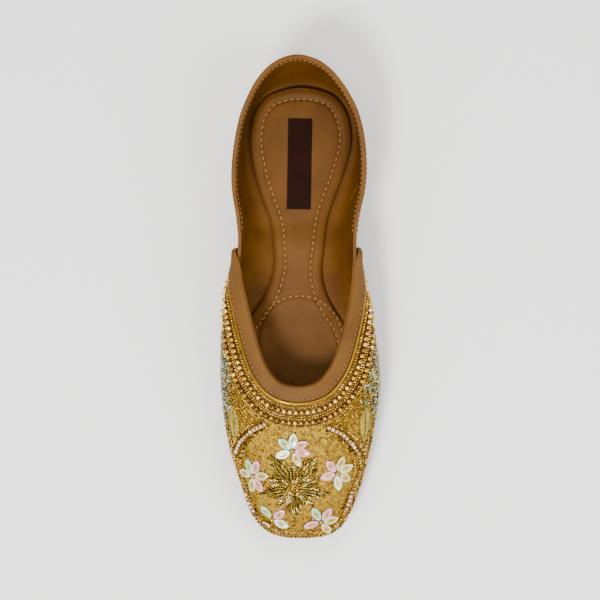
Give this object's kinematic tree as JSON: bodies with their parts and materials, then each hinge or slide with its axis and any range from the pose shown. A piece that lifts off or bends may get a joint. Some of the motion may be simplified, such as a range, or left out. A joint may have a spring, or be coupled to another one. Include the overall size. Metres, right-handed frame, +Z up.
{
  "type": "flat shoe",
  "caption": "Square-toe slip-on flat for the right foot, with a beaded gold vamp, plain gold quarter, tan edge bands, insole and rubber unit sole with a low heel.",
  "frame": {"origin": "on the floor, under the middle of the shoe's box", "axes": "+Y from toe to heel, +X to the big toe's side, +Z up"},
  "size_m": [0.0894, 0.2723, 0.055],
  "materials": {
    "sole_rubber": "matt moulded brown rubber with a fine tread",
    "sock_leather": "smooth tan sock leather, lightly padded",
    "gold_foil_leather": "satin metallic gold foil leather, tan inside",
    "beaded_cloth": "gold zari cloth covered with beads and sequins",
    "band_leather": "tan leather, folded over and stitched",
    "binding_leather": "tan leather binding, stitched"
  },
  "bodies": {
    "root": {"outsole": "sole_rubber", "insole": "sock_leather", "upper_quarter": "gold_foil_leather", "quarter_binding": "binding_leather", "upper_vamp": "beaded_cloth", "vamp_band": "band_leather"}
  },
  "joints": []
}
